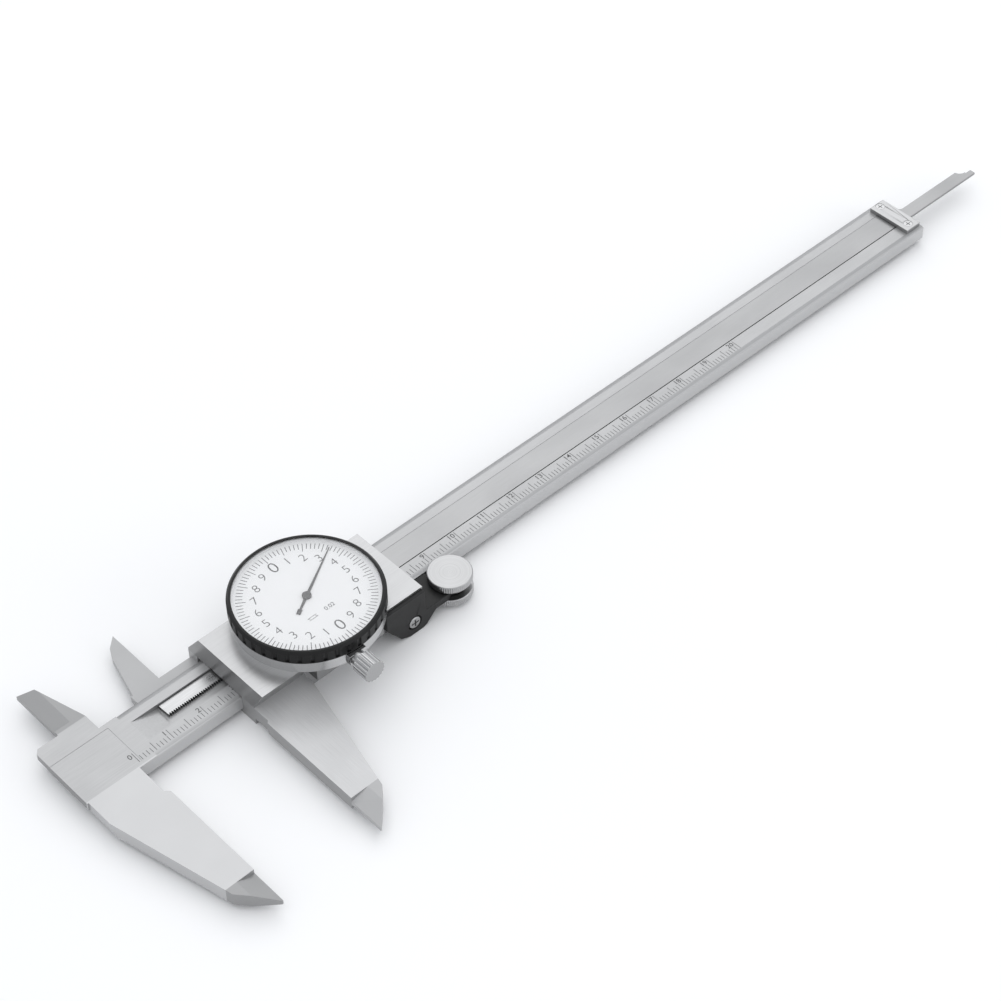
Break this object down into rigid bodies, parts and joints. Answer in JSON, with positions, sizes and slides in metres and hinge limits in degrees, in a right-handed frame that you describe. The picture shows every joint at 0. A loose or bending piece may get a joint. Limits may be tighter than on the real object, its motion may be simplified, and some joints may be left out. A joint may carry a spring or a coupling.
{
  "type": "dial caliper",
  "caption": "Dial caliper: flat beam with fixed jaws and a gear rack, slider with moving jaws, round dial, thumb roller and depth rod.",
  "frame": {"origin": "the middle of the fixed outside jaw's measuring face", "axes": "+X along the beam towards the depth rod's tip, +Y across the beam towards the inside jaws, +Z out of the dial"},
  "size_m": [0.3167, 0.0877, 0.0201],
  "materials": {
    "jaw_steel": "satin ground stainless steel",
    "case_steel": "satin chrome-plated steel",
    "rack_steel": "bright ground steel",
    "screw_steel": "turned steel",
    "roller_steel": "knurled and turned, bright plated",
    "black_plastic": "satin black",
    "white_enamel": "matt white enamel",
    "crystal": "clear acrylic",
    "brass": "turned brass",
    "spring_steel": "blued spring steel",
    "pointer_black": "satin dark grey"
  },
  "bodies": {
    "beam": {"beam_with_fixed_jaws": "jaw_steel", "rack": "rack_steel", "rack_screws": "screw_steel", "end_plate": "case_steel", "end_plate_screws": "screw_steel"},
    "slider": {"slider_frame": "jaw_steel", "gib_strip": "brass", "gib_set_screws": "screw_steel", "case_screws": "screw_steel", "movement_case": "case_steel", "movement_lower_plate": "brass", "movement_upper_plate": "brass", "movement_pillars": "brass", "movement_screws": "screw_steel", "dial_base_ring": "case_steel", "dial_base_screws": "screw_steel", "bezel_clamp_block": "case_steel", "depth_rod": "case_steel", "depth_rod_rivets": "screw_steel", "roller_bracket": "black_plastic", "roller_bracket_screw": "screw_steel"},
    "bezel": {"bezel_ring": "black_plastic", "dial_plate": "white_enamel", "crystal_spacer_ring": "black_plastic", "crystal": "crystal"},
    "pointer": {"pointer_arbor": "brass", "pointer": "pointer_black"},
    "drive_arbor": {"rack_pinion_arbor": "screw_steel", "drive_wheel": "brass", "anti_backlash_wheel": "brass", "anti_backlash_spring": "spring_steel"},
    "thumb_roller": {"thumb_roller_lower_disc": "roller_steel", "thumb_roller_upper_disc": "roller_steel"},
    "clamp_screw": {"bezel_clamp_screw": "roller_steel"},
    "lock_screw": {"slider_lock_screw": "roller_steel"}
  },
  "joints": [
    {"name": "slider_slide", "type": "slide", "parent": "beam", "child": "slider", "axis": [1, 0, 0], "range_m": [-0.02833, 0.17167]},
    {"name": "pointer_spin", "type": "hinge", "parent": "slider", "child": "pointer", "pos_m": [0.05353, 0.0344, 0.0149], "axis": [0, 0, 1], "continuous": true},
    {"name": "drive_arbor_spin", "type": "hinge", "parent": "slider", "child": "drive_arbor", "pos_m": [0.04647, 0.03721, 0.002], "axis": [0, 0, 1], "continuous": true},
    {"name": "thumb_roller_spin", "type": "hinge", "parent": "slider", "child": "thumb_roller", "pos_m": [0.08939, 0.02425, 0.002], "axis": [0, 0, 1], "continuous": true},
    {"name": "bezel_turn", "type": "hinge", "parent": "slider", "child": "bezel", "pos_m": [0.05353, 0.0344, 0.0148], "axis": [0, 0, 1], "continuous": true},
    {"name": "clamp_screw_turn", "type": "hinge", "parent": "slider", "child": "clamp_screw", "pos_m": [0.05183, 0.0121, 0.01125], "axis": [0, -1, 0], "range_deg": [0, 720]},
    {"name": "lock_screw_turn", "type": "hinge", "parent": "slider", "child": "lock_screw", "pos_m": [0.05353, 0.0521, -0.0006], "axis": [0, 1, 0], "range_deg": [-90, 720]}
  ],
  "couplings": [
    {"joint": "pointer_spin", "follows": "slider_slide", "rad_per_m": -3141.6},
    {"joint": "drive_arbor_spin", "follows": "slider_slide", "rad_per_m": 837.76},
    {"joint": "thumb_roller_spin", "follows": "slider_slide", "rad_per_m": 175.44}
  ]
}
